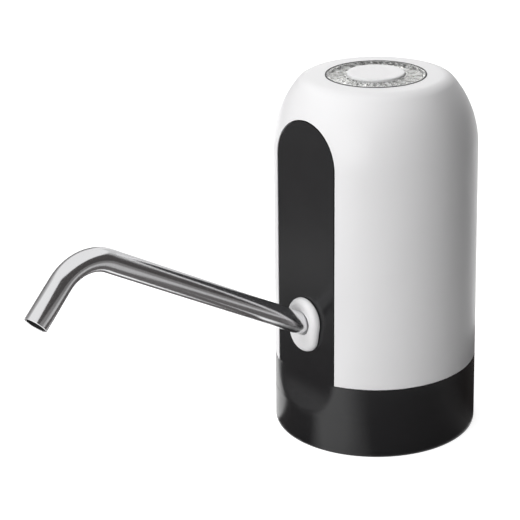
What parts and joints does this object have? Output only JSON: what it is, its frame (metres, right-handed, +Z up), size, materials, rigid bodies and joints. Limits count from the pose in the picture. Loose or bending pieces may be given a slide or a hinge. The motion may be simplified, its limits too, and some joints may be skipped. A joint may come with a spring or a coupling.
{
  "type": "electric water jug pump",
  "caption": "Round rechargeable pump with a domed top button and a bent steel spout, which sits on the neck of a water jug and pumps water up to the spout.",
  "frame": {"origin": "on the body axis at the base rim, where the jug neck enters the sleeve", "axes": "+Z up along the body axis, -Y towards the spout, +X to the right of someone facing the charging socket side"},
  "size_m": [0.0738, 0.1831, 0.131],
  "materials": {
    "white_gloss": "glossy moulded ABS",
    "black_satin": "satin moulded ABS",
    "dark_rubber": "soft matt rubber",
    "clear_ring": "clear moulded acrylic",
    "spout_steel": "polished stainless steel",
    "white_satin": "satin moulded plastic",
    "soft_silicone": "translucent silicone",
    "pump_black": "moulded nylon",
    "screw_steel": "zinc plated",
    "motor_steel": "drawn steel",
    "magnet": "ferrite",
    "bronze": "sintered bronze",
    "copper": "copper winding",
    "brass_tab": "bright brass",
    "carbon": "carbon",
    "cell_wrap": "plastic wrapped steel cell",
    "nickel": "bright nickel",
    "foam": "closed-cell foam",
    "board_green": "solder mask",
    "lamp": "diffused lamp",
    "lead_red": "PVC insulation",
    "lead_black": "PVC insulation"
  },
  "bodies": {
    "housing": {"upper_shell": "white_gloss", "base_housing": "black_satin", "neck_sleeve": "dark_rubber", "light_ring": "clear_ring", "ring_gasket": "dark_rubber", "outlet_socket": "white_satin", "socket_screws": "screw_steel", "outlet_hose": "soft_silicone", "inlet_fitting": "white_satin", "inlet_washer": "dark_rubber", "inlet_nut": "white_satin", "inlet_coupler": "soft_silicone", "cradle": "white_satin", "cradle_screws": "screw_steel", "pump_damper": "foam", "pump_cover": "pump_black", "valve_plate": "white_satin", "valve_flaps": "soft_silicone", "diaphragm": "dark_rubber", "pump_body": "pump_black", "pump_screws": "screw_steel", "motor_can": "motor_steel", "motor_screws": "screw_steel", "motor_magnets": "magnet", "motor_bushes": "bronze", "motor_brushes": "carbon", "motor_end_cap": "white_satin", "motor_terminals": "brass_tab", "battery_cell": "cell_wrap", "battery_tabs": "nickel", "battery_pad": "foam", "control_board": "board_green", "board_screws": "screw_steel", "switch_body": "pump_black", "leds": "lamp", "charge_board": "board_green", "charge_screws": "screw_steel", "usb_shell": "nickel", "usb_tongue": "pump_black", "shell_screws": "screw_steel", "motor_leads": "lead_red", "battery_leads": "lead_black", "charge_leads": "lead_red"},
    "button": {"button_cap": "white_gloss", "switch_plunger": "white_satin"},
    "spout_plug": {"spout_collar": "white_gloss", "plug_o_ring": "dark_rubber"},
    "spout": {"spout_tube": "spout_steel"},
    "rotor": {"motor_shaft": "motor_steel", "armature": "copper", "commutator": "copper", "eccentric": "white_satin", "crank_pin": "screw_steel"},
    "wobbler": {"wobble_plate": "white_satin"}
  },
  "joints": [
    {"name": "button_press", "type": "slide", "parent": "housing", "child": "button", "axis": [0, 0, -1], "range_m": [0, 0.0008], "stiffness_N_per_m": 1000},
    {"name": "spout_pull", "type": "slide", "parent": "housing", "child": "spout_plug", "axis": [0, -1, 0], "range_m": [0, 0.02]},
    {"name": "spout_swivel", "type": "hinge", "parent": "spout_plug", "child": "spout", "pos_m": [0, -0.036, 0.0465], "axis": [0, -1, 0], "range_deg": [-150, 150]},
    {"name": "rotor_spin", "type": "hinge", "parent": "housing", "child": "rotor", "pos_m": [-0.009, 0.006, 0.085], "axis": [0, 0, 1], "continuous": true},
    {"name": "wobble", "type": "hinge", "parent": "rotor", "child": "wobbler", "pos_m": [-0.009, 0.006, 0.0602], "axis": [0.1045, 0, 0.9945], "continuous": true, "deforming": ["diaphragm"]}
  ],
  "couplings": [
    {"joint": "wobble", "follows": "rotor_spin", "ratio": -1}
  ]
}
